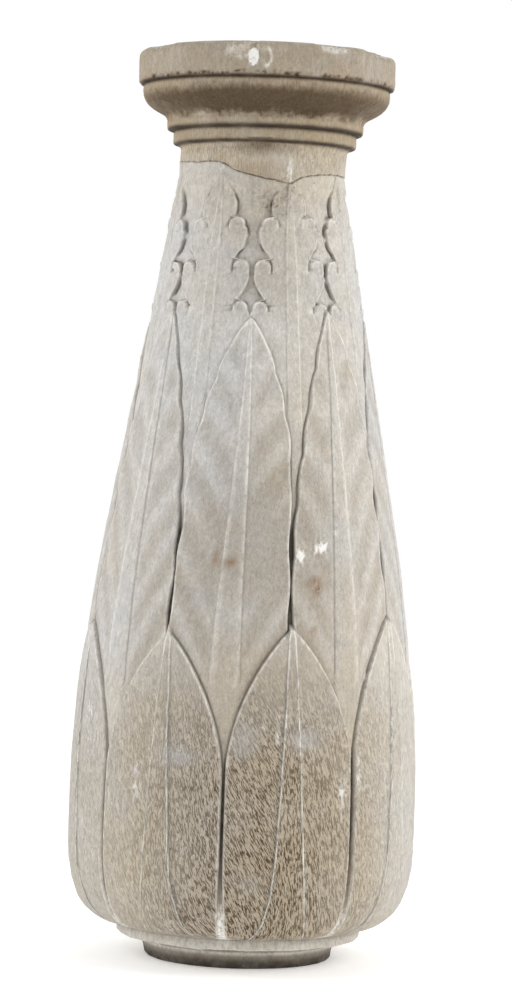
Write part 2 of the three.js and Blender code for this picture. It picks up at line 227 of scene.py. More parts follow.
# Light: two softboxes at the sides, by place, width and height in metres and power in watts, and the
# share of the backdrop's light that comes from the room behind the camera
SOFTBOXES = (
    ("Left softbox", (-2.0, -0.9, 1.5), (0.9, 1.6), 19),
    ("Right softbox", (2.0, -0.8, 1.5), (0.9, 1.6), 25),
)
ROOM_LIGHT = 0.5
TABLE_LIGHT = 0.27
FLOOR_REACH = 6.0

# Camera: metres away, above the floor and to the side, and degrees down and rolled
SENSOR_WIDTH = 36
CAMERA_DISTANCE = 3.290
CAMERA_HEIGHT = 0.522
CAMERA_ASIDE = 0.0045
CAMERA_PITCH = 1.15
CAMERA_ROLL = 1.85


def smooth(low, high, value):
    """0 up to low, 1 from high, eased between; low may be the larger."""
    t = np.clip((np.asarray(value, float) - low) / (high - low), 0, 1)
    return t * t * (3 - 2 * t)


def bell(value, width):
    return np.exp(-((value / width) ** 2))


def mixed(start, end, share):
    return start + (end - start) * share


def along(points, value):
    """The second numbers of the points, read at a value of the first."""
    table = np.array(points, float)
    return np.interp(value, table[:, 0], table[:, 1])


def wrapped(angle):
    """An angle brought to between -180 and 180 degrees."""
    return (angle + 180) % 360 - 180


def strongest(*layers):
    """The largest of several masks at each point."""
    return reduce(np.maximum, layers)


def bezier(points, count=300):
    t = np.linspace(0, 1, count)[:, None]
    a, b, c, d = (np.array(p, float) for p in points)
    return (1 - t) ** 3 * a + 3 * t * (1 - t) ** 2 * b + 3 * t**2 * (1 - t) * c + t**3 * d


SHAFT_LINE = np.vstack([bezier(UNDER_BELLY), bezier(TAPER)[1:], [(NECK_RADIUS, NECK_START)]])


def shaft_radius(height):
    return np.interp(height, SHAFT_LINE[:, 1], SHAFT_LINE[:, 0])


def per_degree(height):
    """The distance in mm that one degree spans on the shaft."""
    return shaft_radius(height) * math.pi / 180


def lower_rib(height, below):
    return 2.5 + 0.052 * np.maximum(below, 0) + 10 * np.exp((RING_TOP - height) / 25)


def middle_rib(below):
    return 0.5 + 0.04 * np.maximum(below, 0)


def vein_shift(leaf, side):
    """How far one half leaf's veins are off their usual places, in mm."""
    return 5 * np.sin(2.1 * leaf) + 3 * side


def measured_pair(leaf, side):
    """Whether a half leaf is one of the two at the front recess, whose lobes are as measured."""
    return ((leaf == 0) & (side < 0)) | ((leaf == LEAF_COUNT - 1) & (side > 0))


def beside_front(leaf, side):
    """Whether a middle half leaf is next to the front leaf."""
    return ((leaf == 1) & (side < 0)) | ((leaf == LEAF_COUNT - 1) & (side > 0))


def lobe_reach(leaf, side):
    """How far one half leaf's lobes are cut in, as a share of the measured pair's."""
    return np.where(measured_pair(leaf, side), 1, 0.86 + 0.14 * np.sin(4.1 * leaf + 1.2 * side))


def lobe_level(leaf, side, height):
    """The height on the measured pair's lobes that a height on one half leaf's matches."""
    shift = np.where(measured_pair(leaf, side), 0, 2.5 * np.sin(2.7 * leaf + side))
    return height - shift * smooth(LOBE_SHIFT_FROM, LOBE_SHIFT_FULL, height)


def break_height(theta):
    return along(BREAK_LINE, (theta + 90) % 360 - 90)


def roughen(points, scale, octaves=3, seed=0.0):
    """Fractal noise, about -1 to 1, at points in mm, with features about scale mm wide."""
    flat = points.reshape(-1, 3) / scale + seed
    values = [noise.fractal(Vector(p), 0.8, 2.1, octaves, noise_basis="PERLIN_ORIGINAL")
              for p in flat.tolist()]
    return np.array(values).reshape(points.shape[:-1])


def placed(radius, theta, height, offset=0.0):
    """Points from radius, angle from the front and height."""
    a = np.radians(theta)
    return np.stack(np.broadcast_arrays(radius * np.sin(a) + offset, -radius * np.cos(a), height), axis=-1)


# Where the leaves' axes run

def leaf_axes(first, turn_low, turn_high, height, low, high):
    even = first + LEAF_PITCH * np.arange(LEAF_COUNT)
    share = smooth(low, high, height)[None]
    shape = (LEAF_COUNT,) + (1,) * height.ndim
    low_turn = np.reshape(turn_low, shape)
    high_turn = np.reshape(turn_high, shape)
    return even.reshape(shape) + low_turn + (high_turn - low_turn) * share


def lower_axes(height):
    return leaf_axes(LOWER_AXIS, LOWER_TURN, LOWER_TURN, height, 0, 1)


def middle_axes(height):
    return leaf_axes(MIDDLE_AXIS, MIDDLE_BASE_TURN, MIDDLE_TIP_TURN, height, 280, MIDDLE_TIP)


def upper_axes(height):
    return leaf_axes(LOWER_AXIS, LOWER_TURN, UPPER_TURN, height, LOWER_TIP, 560)


def leaf_frame(theta, axes):
    """Each point's leaf, the angle off its axis, and half the angle to the next axis on that side."""
    off = wrapped(theta[None] - axes)
    leaf = np.abs(off).argmin(0)

    def pick(values):
        return np.take_along_axis(np.broadcast_to(values, off.shape), leaf[None], 0)[0]

    right = (np.roll(axes, -1, 0) - axes) % 360 / 2
    left = (axes - np.roll(axes, 1, 0)) % 360 / 2
    own = pick(off)
    return leaf, own, np.where(own > 0, pick(right), pick(left))


def arch(down, fullness):
    """How much of its half sector a pointed leaf fills, at a share of its arch below the tip."""
    return (1 - (1 - np.clip(down, 0, 1)) ** 2.2) ** fullness


def outline_distance(across, height, outline):
    """Distance in mm from each point to a line of (across, height) points."""
    best = np.full(across.shape, 1e9)
    for (from_across, from_height), (to_across, to_height) in zip(outline[:-1], outline[1:]):
        run, rise = to_across - from_across, to_height - from_height
        share = (across - from_across) * run + (height - from_height) * rise
        share = np.clip(share / max(run * run + rise * rise, 1e-9), 0, 1)
        away = np.hypot(across - from_across - share * run, height - from_height - share * rise)
        best = np.minimum(best, away)
    return best


def half_width(axes, leaf, side, height):
    """Half the distance in mm from a leaf's axis to the next one on a side, +1 towards +X."""
    lines = axes(height)
    return (side * (lines[(leaf + side) % LEAF_COUNT] - lines[leaf]) % 360) / 2 * per_degree(height)


def lower_edge(leaf, side, height):
    """How far a lower leaf's edge lies from its axis, in mm, at heights."""
    width = half_width(lower_axes, leaf, side, height)
    below = LOWER_TIP + LOWER_TIP_RISE[leaf] - height
    wider = WIDE_GROOVES.get((leaf, side), 0.0)
    groove = along(LOWER_GROOVE, height) + wider * smooth(50, 110, height)
    return np.minimum(arch(below / LOWER_ARCH, LOWER_FULLNESS) * width, width - groove)


def middle_edge(leaf, side, height):
    """The same for a middle leaf, whose edge is scalloped."""
    width = half_width(middle_axes, leaf, side, height)
    below = MIDDLE_TIP + MIDDLE_TIP_RISE[leaf] - height
    cusp = np.abs(np.sin(math.pi * along(CUSPS, below + vein_shift(leaf, side)))) ** 0.7
    scallop = 2.6 * (cusp - 0.6) * smooth(10, 50, below)
    if beside_front(leaf, side):
        filled = arch(below / SLIM_ARCH, SLIM_FULLNESS)
    else:
        filled = arch(below / MIDDLE_ARCH, MIDDLE_FULLNESS)
    wander = side * 1.1 * np.sin(height / 11.5 + 1.7 * (leaf + (side < 0)))
    if measured_pair(leaf, side):
        wander = wander + 0.6
    at_groove = width - along(MIDDLE_GROOVE, height) + wander
    return np.maximum(np.minimum(filled * width + scallop, at_groove), 0)


def upper_gap(leaf, side, height):
    """The gap in mm from an upper leaf's side to the middle of its gap, heads of lobes included."""
    level, reach = lobe_level(leaf, side, height), lobe_reach(leaf, side)
    gap = along(LOBE_LINE, level) * per_degree(height) * reach
    for centre, rise, half_across, half_up in LOBE_HEADS:
        up = np.clip((level - rise) / half_up, -1, 1)
        head = reach * (centre * per_degree(height) - half_across * np.sqrt(1 - up * up))
        gap = np.where(np.abs(up) < 1, np.minimum(gap, head), gap)
    return gap


def tier_leaves(theta, height, axes, tip, rises, edge_of, edge_heights):
    """A tier's leaf at each point: its number, the angle off its axis and half the one to the next axis,
    and in mm how far across from the axis, below the tip and inside the edge, negative outside it."""
    leaf, off, half = leaf_frame(theta, axes(height))
    across = np.abs(off) * per_degree(height)
    inside = np.zeros(height.shape)
    for number, rise in enumerate(rises):
        top = tip + rise
        levels = np.append(edge_heights[edge_heights < top - 0.8], [top - 0.8, top])
        for side in (1, -1):
            edge = edge_of(number, side, levels)
            edge[-1] = 0
            chosen = (leaf == number) & (np.sign(off) * side >= 0)
            out, up = across[chosen], height[chosen]
            away = outline_distance(out, up, np.stack([edge, levels], axis=1))
            is_in = (up < top) & (out < np.interp(up, levels, edge))
            inside[chosen] = np.where(is_in, away, -away)
    below = tip + np.take(rises, leaf) - height
    return {"leaf": leaf, "off": off, "half": half, "across": across, "below": below, "inside": inside}


def lower_leaves(theta, height):
    """The lower tier, with its depth, how far its gaps are closed grooves and the distance off its ribs."""
    leaves = tier_leaves(theta, height, lower_axes, LOWER_TIP, LOWER_TIP_RISE, lower_edge,
                         np.arange(30, 360, 2.5))
    below, inside = leaves["below"], leaves["inside"]
    beside = leaves["across"] - lower_rib(height, below)
    rib = 1 - smooth(-0.3, 0.9, beside)
    blade = 0.8 + 0.6 * np.exp(-np.maximum(beside, 0) / 5) - 0.6 * smooth(16, 1, inside)
    blade = blade - 0.35 * bell(inside - 1.1, 1.1)
    depth = ((1 - rib) * blade - 0.5 * bell(beside + 0.6, 1.2)) * smooth(2, 40, below)
    closed = smooth(LOWER_ARCH - 46, LOWER_ARCH - 14, below)
    return {**leaves, "depth": depth, "closed": closed, "beside": beside}


def middle_leaves(theta, height, vein_relief):
    """The middle tier, also with the ridges between its veins."""
    leaves = tier_leaves(theta, height, middle_axes, MIDDLE_TIP, MIDDLE_TIP_RISE, middle_edge,
                         np.arange(150, 660, 2.5))
    leaf, across, below, inside = (leaves[key] for key in ("leaf", "across", "below", "inside"))
    beside = across - middle_rib(below)
    rib = 1 - smooth(-0.3, 0.8, beside)
    side = np.where(leaves["off"] > 0, 1, -1)
    from_edge = arch(below / MIDDLE_ARCH, MIDDLE_FULLNESS) * leaves["half"] * per_degree(height) - across
    rise = along(((0, 0.6), (120, 0.95), (260, 1.7)), below)
    phase = along(CUSPS, below - rise * np.maximum(from_edge, 0) + vein_shift(leaf, side))
    ridge = (0.5 + 0.5 * np.cos(2 * math.pi * phase + math.pi * 0.9)) ** 1.6
    ripple = vein_relief * (0.7 - ridge) * smooth(2, 11, beside) * smooth(8, 60, below)
    ripple = ripple * (0.5 + 0.5 * smooth(400, 480, height))
    blade = 0.9 + 0.8 * np.exp(-np.maximum(beside, 0) / 4) + ripple - 0.8 * bell(inside - 1.0, 1.6)
    depth = (1 - rib) * blade * smooth(2, 30, below)
    open_further = 55 * ((leaf == 0) | beside_front(leaf, side))
    closed = smooth(MIDDLE_ARCH - 52, MIDDLE_ARCH - 18, below - open_further)
    return {**leaves, "depth": depth, "closed": closed, "beside": beside, "ridge": ridge}


def upper_leaves(theta, height):
    """The upper tier, with its depth, the distance off its ribs and the raised rims of its lobes."""
    leaf, off, half = leaf_frame(theta, upper_axes(height))
    side = np.where(off > 0, 1, -1)
    gap = (half - np.abs(off)) / lobe_reach(leaf, side)
    level = lobe_level(leaf, side, height)
    degree = per_degree(height)
    sides = np.array(LOBE_LINE, float)
    outline = np.stack([sides[:, 1] * per_degree(sides[:, 0]), sides[:, 0]], axis=1)
    away = outline_distance(gap * degree, level, outline)
    inside = np.where(gap > along(sides, level), away, -away)
    curl = np.zeros(theta.shape)
    rim = np.zeros(theta.shape)
    for centre, rise, half_across, half_up in LOBE_HEADS:
        over = (gap - centre) * degree / half_across
        up = (level - rise) / half_up
        reach = np.hypot(over, up)
        inside = np.maximum(inside, (1 - reach) * half_across)
        upward = smooth(-0.3, 0.4, up + 0.25 * over)
        rim = np.maximum(rim, bell((reach - 0.88) * half_across, 1.1) * upward)
        inner = smooth(-0.6, 0.1, over + 0.5 * up) * smooth(-0.9, -0.2, up + 0.3 * over)
        cut = 1.1 + 0.9 * np.sin(3.1 * leaf + 2 * side + rise)
        curl += cut * bell((reach - 1.13) * half_across, 1.3) * inner
        curl += 1.1 * np.clip(1 - (reach / 0.75) ** 2, 0, 1)
        curl -= 0.9 * bell((reach - 0.85) * half_across, 1.3) * upward
    for centre, rise, radius in LOBE_EYES:
        run_in, up = (gap - centre) * degree, level - rise
        curl += (2.4 + 1.2 * np.sin(rise - 2 * side)) * bell(np.hypot(run_in, up), radius)
        curl += bell(up + 1.5 * run_in, 2.6) * smooth(0, 3, run_in) * smooth(22, 8, run_in)
    for (gap_a, rise_a), (gap_b, rise_b) in LOBE_NICKS:
        t = np.clip((gap - gap_a) / (gap_b - gap_a), 0, 1)
        off_line = (gap - gap_a - t * (gap_b - gap_a)) * degree
        curl += 1.8 * bell(np.hypot(off_line, level - rise_a - t * (rise_b - rise_a)), 1.2) * (1 - 0.6 * t)
    beside = np.abs(off) * degree - along(UPPER_RIB, height)
    rib = 1 - smooth(-0.3, 0.8, beside)
    blade = 0.9 + 0.8 * np.exp(-np.maximum(beside, 0) / 3) + curl - 0.5 * bell(inside - 1.2, 1.2)
    depth = (1 - rib) * blade * smooth(UPPER_TIP + 2, UPPER_TIP - 22, height)
    return {"inside": inside, "depth": depth, "beside": beside, "rim": rim}


def facing_centre(leaves, turn):
    """1 on the side of a leaf that looks towards the front's middle, where the carver cut deepest and where
    shade is painted on the walls.
    """
    return smooth(-2, 14, -np.sign(leaves["off"]) * (turn - leaves["off"])) * smooth(120, 80, np.abs(turn))


def facing_side(turn, lower, middle):
    """1 on the side of a leaf's rib that looks away from the front's middle."""
    off = np.where(lower["inside"] > 0, lower["off"], middle["off"])
    return smooth(-4, 10, -np.sign(off) * (turn - off + 2))


def carve(theta, height, sizes):
    """Depth in mm in from the shaft's outer line, and the leaves that the stone's masks follow."""
    tier = sizes.tier_depth / MM
    lower = lower_leaves(theta, height)
    middle = middle_leaves(theta, height, sizes.vein_relief / MM)
    upper = upper_leaves(theta, height)
    middle_sink = tier * smooth(LOWER_TIP + 0.4 * LOWER_ARCH, LOWER_TIP - LOWER_ARCH, height)
    upper_sink = tier * smooth(MIDDLE_TIP + 0.4 * MIDDLE_ARCH, MIDDLE_TIP - MIDDLE_ARCH, height)

    turn = wrapped(theta)
    oblique = smooth(20, 36, np.abs(turn))
    beside_lobes = upper["inside"] + 1.3
    floor = along(RECESS_FLOOR, height) + upper_sink
    edge_cut = bell(beside_lobes, 1.1) * smooth(762, 740, height) * smooth(645, 660, height)
    floor += (0.5 + 0.5 * oblique) * edge_cut
    for level in BRIDGES:
        floor -= 2.2 * bell(height - level, 2.6) * (0.1 + 0.9 * oblique) * bell(beside_lobes, 1.8)
    depth = mixed(floor, upper_sink + upper["depth"], smooth(-0.5, 0.5, upper["inside"]))

    depth = mixed(depth, MIDDLE_GROOVE_DEPTH, middle["closed"])
    cut = (0.2 + 1.2 * facing_centre(middle, turn)) * bell(middle["inside"] + 1, 1)
    depth += cut * (1 - middle["closed"])
    depth = mixed(depth, middle_sink + middle["depth"], smooth(-0.5, 0.5, middle["inside"]))

    groove = along(((40, 1.8), (66, 3.6), (112, sizes.groove_depth / MM)), height)
    depth = mixed(depth, groove, lower["closed"])
    cut = (0.2 + facing_centre(lower, turn)) * bell(lower["inside"] + 1.2, 1.3)
    depth += cut * (1 - lower["closed"])
    depth = mixed(depth, lower["depth"], smooth(-0.5, 0.5, lower["inside"]))
    return depth, lower, middle, upper


def shaft_rows():
    """The heights of the shaft's carved rows, closest where the lobes are."""
    spans = ((RING_TOP + 0.4, 60, 6), (60, 180, 7), (180, 342, 23), (342, 455, 14), (455, 630, 25),
             (630, BREAK_MIDDLE, 93))
    return np.concatenate([np.linspace(a, b, n, endpoint=False) for a, b, n in spans] + [[BREAK_MIDDLE]])


def crowded(start, end, count, crowding):
    """Evenly numbered places between two arrays of places, closer together towards both."""
    t = np.arange(count) / count
    t = t - crowding * np.sin(2 * math.pi * t) / (2 * math.pi)
    return start[:, None] + (end - start)[:, None] * t


def half_sector_columns(leaf, side, rows):
    """Columns from a lower leaf's axis to the middle leaf's on one side, drawn along the leaves' edges and
    ribs: the angle at each row."""
    neighbour = (leaf + (side > 0)) % LEAF_COUNT
    lower, middle, upper = lower_axes(rows), middle_axes(rows), upper_axes(rows)
    other = (leaf + side) % LEAF_COUNT

    def ahead(line, base):
        return base + side * ((side * (line - base)) % 360)

    base = lower[leaf]
    middle_line = ahead(middle[neighbour], base)
    middle_before = base - side * ((side * (base - middle[(neighbour - side) % LEAF_COUNT])) % 360)
    near = mixed(base, (middle_line + middle_before) / 2, smooth(LOWER_TIP - 10, LOWER_TIP + 10, rows))
    near = mixed(near, upper[leaf], smooth(455, 500, rows))
    groove = (base + ahead(lower[other], base)) / 2
    upper_gap_line = (upper[leaf] + ahead(upper[other], base)) / 2
    far = mixed(groove, middle_line, smooth(190, 260, rows))
    far = mixed(far, upper_gap_line, smooth(MIDDLE_TIP - 14, MIDDLE_TIP + 14, rows))
    width = np.abs(far - near) * per_degree(rows)

    low_tip = LOWER_TIP + LOWER_TIP_RISE[leaf]
    mid_tip = MIDDLE_TIP + MIDDLE_TIP_RISE[neighbour]
    edge = width - middle_edge(neighbour, -side, rows)
    edge = np.where(rows < low_tip, lower_edge(leaf, side, rows), edge)
    edge = np.where(rows >= mid_tip, width - upper_gap(leaf, side, rows), edge)
    edge = np.clip(edge, 0.5, width - 0.5)
    rib = np.where(rows < low_tip, lower_rib(rows, low_tip - rows), 0.5 * edge)
    rib = np.where(rows > 470, along(UPPER_RIB, rows), rib)
    rib = np.minimum(rib, 0.55 * edge)
    far_rib = np.where(rows < mid_tip, middle_rib(mid_tip - rows), 0.4 * (width - edge))
    far_rib = np.minimum(far_rib, 0.55 * (width - edge))
    behind = np.minimum(width - along(LOBE_DEPTH, rows), edge - 5)
    inner = rib + 0.22 * (edge - rib)
    inner = mixed(inner, np.maximum(behind, rib + 1), smooth(MIDDLE_TIP - 14, MIDDLE_TIP + 8, rows))
    places = np.concatenate([
        np.stack([np.zeros(rows.shape), rib - np.minimum(1.6, 0.5 * rib), rib], axis=1),
        crowded(rib + np.minimum(0.9, 0.4 * rib), inner, 2, 0), crowded(inner, edge, 14, 0.55),
        crowded(edge, width - far_rib, 11, 0.75), crowded(width - far_rib, width, 2, 0.3),
        width[:, None]], axis=1)
    return near[:, None] + side * places / per_degree(rows)[:, None]


def shaft_columns(rows):
    """The angle of every column at each row, growing all the way round."""
    around = []
    for leaf in range(LEAF_COUNT):
        left, right = half_sector_columns(leaf, -1, rows), half_sector_columns(leaf, 1, rows)
        around += [left[:, :0:-1], right[:, :-1]]
    return np.concatenate(around, axis=1)


def blur(values, times):
    for _ in range(times):
        values = (np.roll(values, 1, 1) + np.roll(values, -1, 1) + 2 * values) / 4
        padded = np.pad(values, ((1, 1), (0, 0)), mode="edge")
        values = (padded[:-2] + padded[2:] + 2 * values) / 4
    return values


def patch(theta, height, angle, level, half_angle, half_height, strength=1.0, soft=0.8):
    """A blot about a point on the surface: its strength inside and 0 outside."""
    reach = np.hypot(wrapped(theta - angle) / half_angle, (height - level) / half_height)
    return strength * smooth(1 + soft, 1 - soft, reach)


def blots(theta, height, marks, **look):
    """The strongest of several marks at each point."""
    return strongest(*(patch(theta, height, *mark, **look) for mark in marks))


def chipped_lip(points, off_break):
    """How far the arris along the break is chipped back, at a distance in mm off the break."""
    return smooth(1.7, 0, off_break) * (0.12 + 0.5 * np.clip(roughen(points, 9, 2, 9.0), 0, 1))


def crack_line(points, turn, off_break):
    """The dark line along the break, in dashes where mortar fills it."""
    dashed = smooth(-0.1, 0.25, roughen(points, 4.5, 2, 3.0) + 0.25 * bell(turn + 4, 20) - 0.05)
    return 0.7 * (smooth(1.2, 0.2, off_break) * dashed)


def broken_face(radius, theta, gap=0.0):
    """Rows that close a stone over the break, from its arris inward."""
    shares = np.array(BREAK_SHARES)[:, None]
    level = BREAK_MIDDLE + (break_height(theta) - BREAK_MIDDLE) * shares + gap
    return placed(radius * shares, np.broadcast_to(theta, level.shape), level)


def stacked(rows, values, low=0.0, high=0.0):
    """A mask over every row: the carved rows' values, with low under them and high over them. rows says
    how many rows are under and over."""
    under, over = (np.broadcast_to(end, (count,) + values.shape[1:])
                   for end, count in zip((low, high), rows))
    return np.concatenate([under, values, over])


def lathe_object(name, points, masks, material):
    """A closed mesh from rows of points round the axis, bottom row first, with its masks."""
    rows, columns, _ = points.shape
    vertices = np.vstack([points.reshape(-1, 3), points[0].mean(0), points[-1].mean(0)]) * MM
    index = np.arange(rows * columns).reshape(rows, columns)
    ahead = np.roll(index, -1, axis=1)
    quads = np.stack([index[:-1], ahead[:-1], ahead[1:], index[1:]], axis=-1).reshape(-1, 4)
    low, high = rows * columns, rows * columns + 1
    fans = [(low, b, a) for a, b in zip(index[0], ahead[0])]
    fans += [(high, a, b) for a, b in zip(index[-1], ahead[-1])]
    mesh = bpy.data.meshes.new(name)
    mesh.from_pydata(vertices.tolist(), [], quads.tolist() + fans)
    mesh.polygons.foreach_set("use_smooth", [True] * len(mesh.polygons))
    for label, values in masks.items():
        kind, field = ("FLOAT_VECTOR", "vector") if values.ndim == 3 else ("FLOAT", "value")
        flat = values.reshape(rows * columns, -1)
        flat = np.vstack([flat, flat[:1], flat[-1:]])
        attribute = mesh.attributes.new(label, kind, "POINT")
        attribute.data.foreach_set(field, flat.ravel().astype(np.float32))
    mesh.materials.append(material)
    mesh.validate()
    piece = bpy.data.objects.new(name, mesh)
    bpy.context.scene.collection.objects.link(piece)
    return piece


# Materials

def linear(code):
    """An sRGB hex value as linear RGBA."""
    channels = [int(code[i:i + 2], 16) / 255 for i in (1, 3, 5)]
    return tuple(c / 12.92 if c <= 0.04045 else ((c + 0.055) / 1.055) ** 2.4 for c in channels) + (1.0,)


def add_node(tree, kind, links, output=0, **settings):
    """Adds a node with its settings and returns one of its outputs. Links maps an input's name or number
    to a socket or a value."""
    node = tree.nodes.new("ShaderNode" + kind)
    for key, value in settings.items():
        setattr(node, key, value)
    for key, value in links.items():
        if isinstance(value, bpy.types.NodeSocket):
            tree.links.new(value, node.inputs[key])
        else:
            node.inputs[key].default_value = value
    return node.outputs[output] if node.outputs else None


def per_mm(size):
    """The texture scale, on coordinates in metres, that makes one feature size mm wide."""
    return 1 / (size * MM)


def carved_limestone(name, sizes, colours, tooled):
    """Weathered limestone, worked with a point chisel and left outdoors: a dull, open grained surface that
    holds brown soil in its tool marks and crevices and is worn pale on its arrises. Its masks also paint
    shade into the crevices, grooves and hollows, and highlights onto edges and rims."""
    material = bpy.data.materials.new(name)
    material.use_nodes = True
    tree = material.node_tree
    tree.nodes.clear()
    place = add_node(tree, "TexCoord", {}, "Object")
    upright = add_node(tree, "VectorMath", {0: place, 1: (1.0, 1.0, 0.45)}, operation="MULTIPLY")
    mask = {label: add_node(tree, "Attribute", {}, "Fac", attribute_name=label) for label in (
        "crevice", "arris", "warm", "soil", "lime", "rust", "pitted", "tooled", "grime", "sunken")}
    # Textures: where they lie, the size of their features in mm, their detail and how rough they are
    texture = {}
    for label, at, size, detail, rough in (
            ("cloud", place, 70, 4.0, 0.6), ("blot", place, 20, 4.5, 0.68), ("patch", place, 14, 4.0, 0.65),
            ("speck", upright, 3.6, 4.0, 0.75), ("grain", upright, 1.4, 3.0, 0.7)):
        texture[label] = add_node(tree, "TexNoise", {
            "Vector": at, "Scale": per_mm(size), "Detail": detail, "Roughness": rough}, "Fac")

    # Body colour: cool grey to warm tan, mottled
    lean = add_node(tree, "Math", {0: texture["cloud"], 1: 0.9, 2: -0.45}, operation="MULTIPLY_ADD")
    lean = add_node(tree, "Math", {0: mask["warm"], 1: lean}, operation="ADD", use_clamp=True)
    colour = add_node(tree, "Mix", {0: lean, 6: colours.cool_stone, 7: colours.warm_stone}, 2,
                      data_type="RGBA")
    for label, low, high, dark, light in (
            ("patch", 0.3, 0.72, 0.88, 1.07), ("speck", 0.28, 0.72, 0.8, 1.15),
            ("grain", 0.25, 0.75, 0.8, 1.16)):
        tone = add_node(tree, "MapRange", {0: texture[label], 1: low, 2: high, 3: dark, 4: light})
        tone = add_node(tree, "CombineColor", {0: tone, 1: tone, 2: tone})
        colour = add_node(tree, "Mix", {0: 1.0, 6: colour, 7: tone}, 2,
                          data_type="RGBA", blend_type="MULTIPLY")

    # Tool marks: short strokes that hold the soil
    strokes = add_node(tree, "Attribute", {}, "Vector", attribute_name="stroke")
    spread = (1 / sizes.stroke_spacing, 1 / sizes.stroke_length, 20.0)
    strokes = add_node(tree, "VectorMath", {0: strokes, 1: spread}, operation="MULTIPLY")
    marks = add_node(tree, "TexNoise", {"Vector": strokes, "Scale": 1.0, "Detail": 2.5, "Roughness": 0.6},
                     "Fac")
    dashes = add_node(tree, "TexVoronoi", {"Vector": strokes, "Scale": 0.55}, "Distance")
    dashes = add_node(tree, "Math", {0: dashes, 1: 0.22, 2: marks}, operation="MULTIPLY_ADD")
    cut = add_node(tree, "MapRange", {0: dashes, 1: 0.605, 2: 0.54}, interpolation_type="SMOOTHSTEP")
    struck = add_node(tree, "Math", {0: cut, 1: mask["tooled"]}, operation="MULTIPLY")
    held = add_node(tree, "MapRange", {0: texture["blot"], 1: 0.28, 2: 0.66, 3: 0.72, 4: 1.05})
    held = add_node(tree, "Math", {0: held, 1: mask["soil"], 2: 0.08},
                    operation="MULTIPLY_ADD", use_clamp=True)
    filled = add_node(tree, "Math", {0: struck, 1: held}, operation="MULTIPLY")

    # Open pits
    dots = add_node(tree, "TexVoronoi", {"Vector": place, "Scale": per_mm(7.5)}, "Distance")
    dots = add_node(tree, "MapRange", {0: dots, 1: 0.2, 2: 0.1})
    open_pit = add_node(tree, "MapRange", {0: texture["speck"], 1: 0.5, 2: 0.62})
    dots = add_node(tree, "Math", {0: dots, 1: open_pit}, operation="MULTIPLY")
    share = add_node(tree, "Math", {0: mask["pitted"], 1: 0.9, 2: 0.22},
                     operation="MULTIPLY_ADD", use_clamp=True)
    pit = add_node(tree, "Math", {0: dots, 1: share}, operation="MULTIPLY")

    # Layers, from the stone out: where, the texture that breaks it up with its range and share, and colour
    layers = (
        # Grey dirt with painted shade, darker towards the front and in the vein folds
        (mask["grime"], "patch", 0.25, 0.7, 0.55, 1.0, colours.grime, "MULTIPLY"),
        (mask["soil"], "blot", 0.3, 0.7, 0.1, 0.5, colours.soil_film, "MIX"),
        # Soil with painted shade in bands under the head's fillets and slab
        (mask["sunken"], "speck", 0.34, 0.6, 1.0, 0.84, colours.soil, "MIX"),
        (filled, "patch", 0.0, 1.0, 1.0, 1.0, colours.soil, "MIX"),
        (pit, "patch", 0.0, 1.0, 1.0, 1.0, colours.crevice, "MIX"),
        # Pale wear with painted highlights on the edges
        (mask["arris"], "speck", 0.32, 0.6, 0.15, 0.95, colours.arris, "MIX"),
        # Dark dirt and painted shade in the crevices
        (mask["crevice"], "patch", 0.25, 0.6, 0.7, 1.0, colours.crevice, "MIX"),
        (mask["rust"], "speck", 0.36, 0.56, 0.1, 0.9, colours.rust, "MIX"),
    )
    for where, label, low, high, least, most, layer, blending in layers:
        broken = add_node(tree, "MapRange", {0: texture[label], 1: low, 2: high, 3: least, 4: most})
        share = add_node(tree, "Math", {0: where, 1: broken}, operation="MULTIPLY", use_clamp=True)
        colour = add_node(tree, "Mix", {0: share, 6: colour, 7: layer}, 2,
                          data_type="RGBA", blend_type=blending)
    # Lime lies solid where its mask passes 2 and breaks into spots below that
    spots = add_node(tree, "MapRange", {0: texture["speck"], 1: 0.36, 2: 0.56, 3: -1.0, 4: 0.0})
    spots = add_node(tree, "Math", {0: spots, 1: mask["lime"]}, operation="ADD", use_clamp=True)
    colour = add_node(tree, "Mix", {0: spots, 6: colour, 7: colours.lime}, 2, data_type="RGBA")

    # Relief: grain, strokes and pits
    relief = 0.0
    for height, depth in ((texture["grain"], 0.3), (texture["speck"], 0.6), (struck, -tooled), (pit, -0.6)):
        relief = add_node(tree, "Math", {0: height, 1: depth, 2: relief}, operation="MULTIPLY_ADD")
    bump = add_node(tree, "Bump", {"Strength": 1.0, "Distance": MM, "Height": relief})
    rough = add_node(tree, "MapRange", {0: texture["patch"], 1: 0.3, 2: 0.7, 3: 0.8, 4: 0.95})
    shader = add_node(tree, "BsdfPrincipled", {
        "Base Color": colour, "Roughness": rough, "Normal": bump, "IOR": 1.5, "Specular IOR Level": 0.3})
    add_node(tree, "OutputMaterial", {"Surface": shader})
    return material


class PedestalSizes(PropertyGroup):
    tier_depth: FloatProperty(
        name="Tier depth", description="How far each tier of leaves lies behind the tips below it",
        default=4 * MM, unit="LENGTH")
    groove_depth: FloatProperty(
        name="Groove depth", description="Depth of the grooves between the lower leaves",
        default=7 * MM, unit="LENGTH")
    vein_relief: FloatProperty(
        name="Vein relief", description="How far the folds between the veins stand up",
        default=2.2 * MM, unit="LENGTH")
    stroke_length: FloatProperty(
        name="Stroke length", description="Length of one chisel stroke", default=6 * MM, unit="LENGTH")
    stroke_spacing: FloatProperty(
        name="Stroke spacing", description="Distance between chisel strokes",
        default=1.0 * MM, unit="LENGTH")


